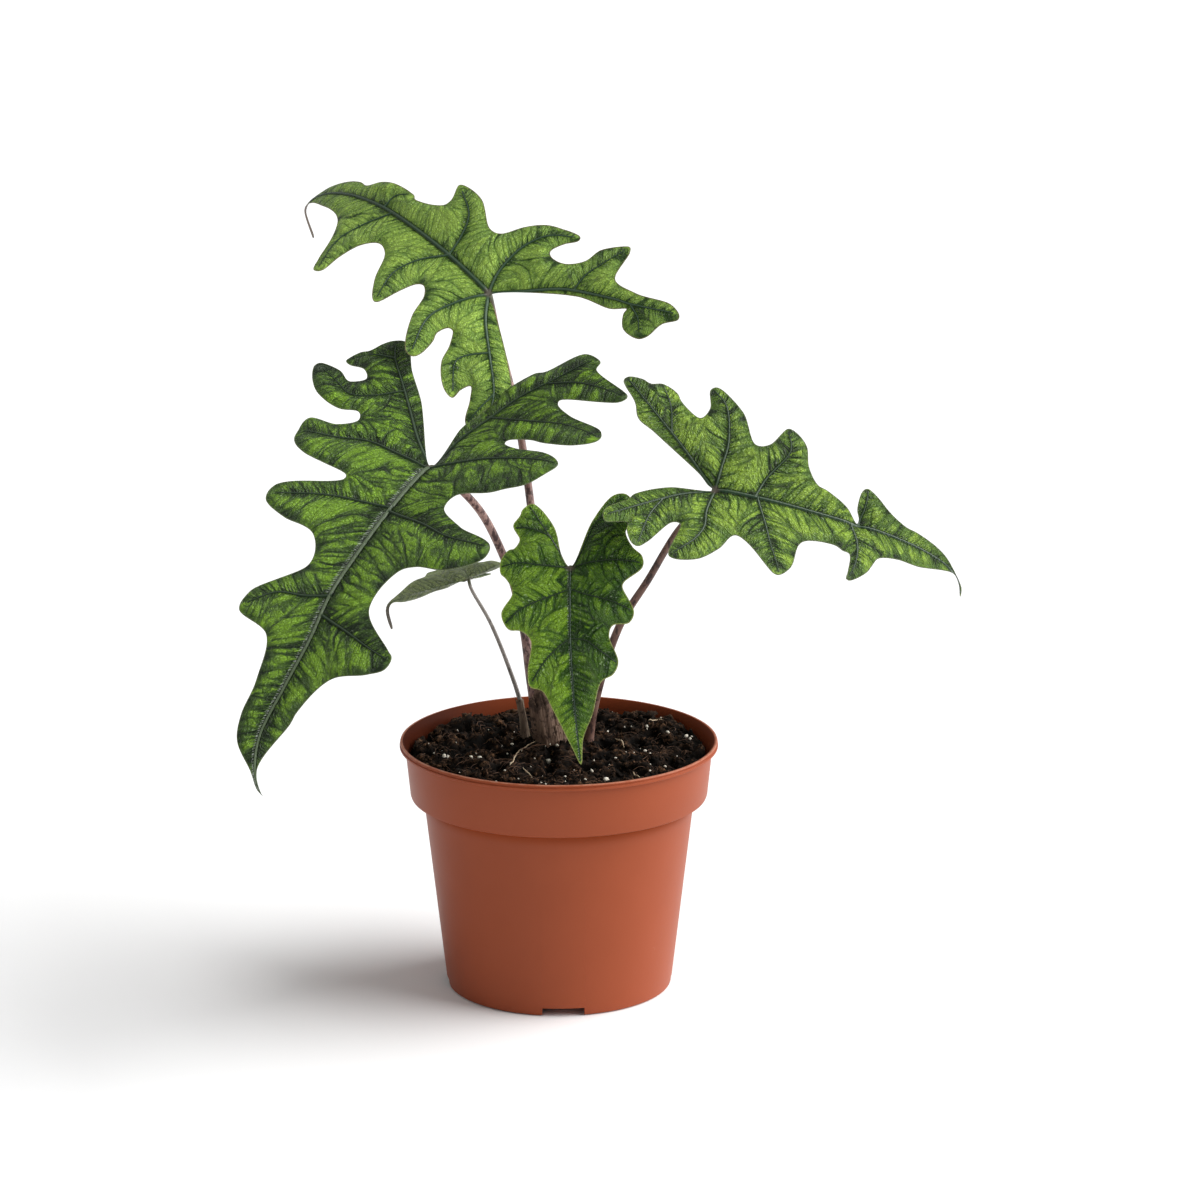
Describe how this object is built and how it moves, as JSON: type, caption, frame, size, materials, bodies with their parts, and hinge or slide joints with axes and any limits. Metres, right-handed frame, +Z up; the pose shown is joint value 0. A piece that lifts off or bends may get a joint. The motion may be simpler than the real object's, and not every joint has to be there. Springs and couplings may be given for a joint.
{
  "type": "potted jacklyn alocasia",
  "caption": "Young aroid house plant with deeply lobed, net-veined arrow blades on thin arching stalks, in a plain round plastic nursery pot filled with soil.",
  "frame": {"origin": "centre of the pot's underside, on the surface that it stands on", "axes": "+Z up, -Y towards the viewer, +X to the viewer's right"},
  "size_m": [0.2641, 0.3025, 0.2917],
  "materials": {
    "pot_plastic": "satin terracotta-coloured plastic",
    "soil": "dark crumbly peat soil",
    "sheath": "papery grey-brown leaf sheath",
    "stalk": "smooth mottled purple-brown leaf stalk",
    "blade": "quilted green leaf with dark sunken veins",
    "blade_underside": "pale grey-green leaf"
  },
  "bodies": {
    "root": {"pot": "pot_plastic", "soil": "soil", "stem": "sheath", "stalk_left": "stalk", "stalk_top": "stalk", "stalk_right": "stalk", "stalk_front": "stalk", "stalk_small": "stalk", "blade_left": "blade", "blade_top": "blade", "blade_right": "blade", "blade_front": "blade", "blade_small": "blade_underside"}
  },
  "joints": []
}
